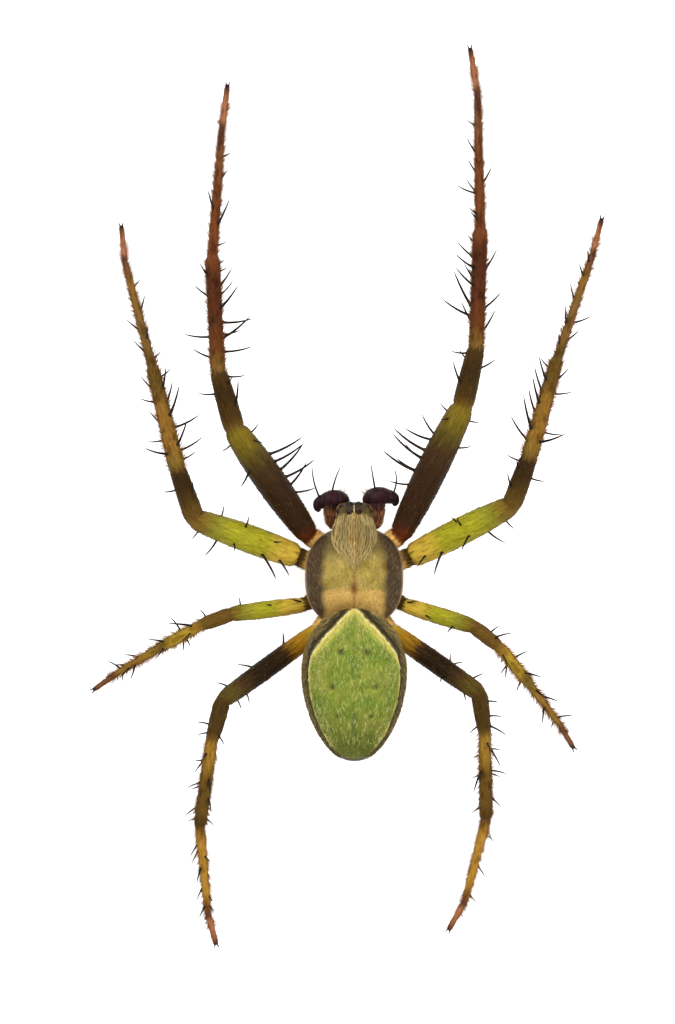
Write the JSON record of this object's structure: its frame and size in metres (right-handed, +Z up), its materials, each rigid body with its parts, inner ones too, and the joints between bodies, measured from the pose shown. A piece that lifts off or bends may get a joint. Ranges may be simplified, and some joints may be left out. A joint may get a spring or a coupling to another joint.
{
  "type": "green orb weaver spider",
  "caption": "Still, life-size model of a male green orb weaver standing on its eight feet, with spiny legs, green leaf-marked abdomen and large palps.",
  "frame": {"origin": "on the floor, under the middle of the bounding box of the standing animal", "axes": "+Z up, the head looks towards -Y, and the animal's left side is +X"},
  "size_m": [0.0182, 0.0318, 0.0049],
  "materials": {
    "carapace": "dark brown and olive cuticle under dense golden hair",
    "abdomen": "soft green cuticle with a yellow-edged leaf mark and grey-brown sides",
    "waist": "thin brown cuticle",
    "spinneret": "dark brown, finely haired",
    "jaw": "polished red-brown horn",
    "palp": "red-brown cuticle with bristles",
    "palp_bulb": "polished dark purple-brown",
    "eye": "glossy black",
    "coxa": "translucent orange-cream cuticle",
    "dark_femur": "dark brown cuticle, olive band near the knee",
    "green_femur": "bright green, yellow at the base",
    "patella": "dark olive-brown cuticle",
    "tibia": "red-brown to yellow-olive cuticle with black spines",
    "foot": "ochre to orange-red cuticle, dark at the tip"
  },
  "bodies": {
    "root": {"cephalothorax": "carapace", "abdomen": "abdomen", "pedicel": "waist", "spinnerets": "spinneret", "chelicera_left": "jaw", "chelicera_right": "jaw", "palp_left": "palp", "palp_right": "palp", "palp_bulb_left": "palp_bulb", "palp_bulb_right": "palp_bulb", "eye_median_front_left": "eye", "eye_median_front_right": "eye", "eye_median_rear_left": "eye", "eye_median_rear_right": "eye", "eye_side_front_left": "eye", "eye_side_front_right": "eye", "eye_side_rear_left": "eye", "eye_side_rear_right": "eye", "leg_1_left_coxa": "coxa", "leg_1_left_femur": "dark_femur", "leg_1_left_patella": "patella", "leg_1_left_tibia": "tibia", "leg_1_left_foot": "foot", "leg_1_right_coxa": "coxa", "leg_1_right_femur": "dark_femur", "leg_1_right_patella": "patella", "leg_1_right_tibia": "tibia", "leg_1_right_foot": "foot", "leg_2_left_coxa": "coxa", "leg_2_left_femur": "green_femur", "leg_2_left_patella": "patella", "leg_2_left_tibia": "tibia", "leg_2_left_foot": "foot", "leg_2_right_coxa": "coxa", "leg_2_right_femur": "green_femur", "leg_2_right_patella": "patella", "leg_2_right_tibia": "tibia", "leg_2_right_foot": "foot", "leg_3_left_coxa": "coxa", "leg_3_left_femur": "green_femur", "leg_3_left_patella": "patella", "leg_3_left_tibia": "tibia", "leg_3_left_foot": "foot", "leg_3_right_coxa": "coxa", "leg_3_right_femur": "green_femur", "leg_3_right_patella": "patella", "leg_3_right_tibia": "tibia", "leg_3_right_foot": "foot", "leg_4_left_coxa": "coxa", "leg_4_left_femur": "dark_femur", "leg_4_left_patella": "patella", "leg_4_left_tibia": "tibia", "leg_4_left_foot": "foot", "leg_4_right_coxa": "coxa", "leg_4_right_femur": "dark_femur", "leg_4_right_patella": "patella", "leg_4_right_tibia": "tibia", "leg_4_right_foot": "foot"}
  },
  "joints": []
}
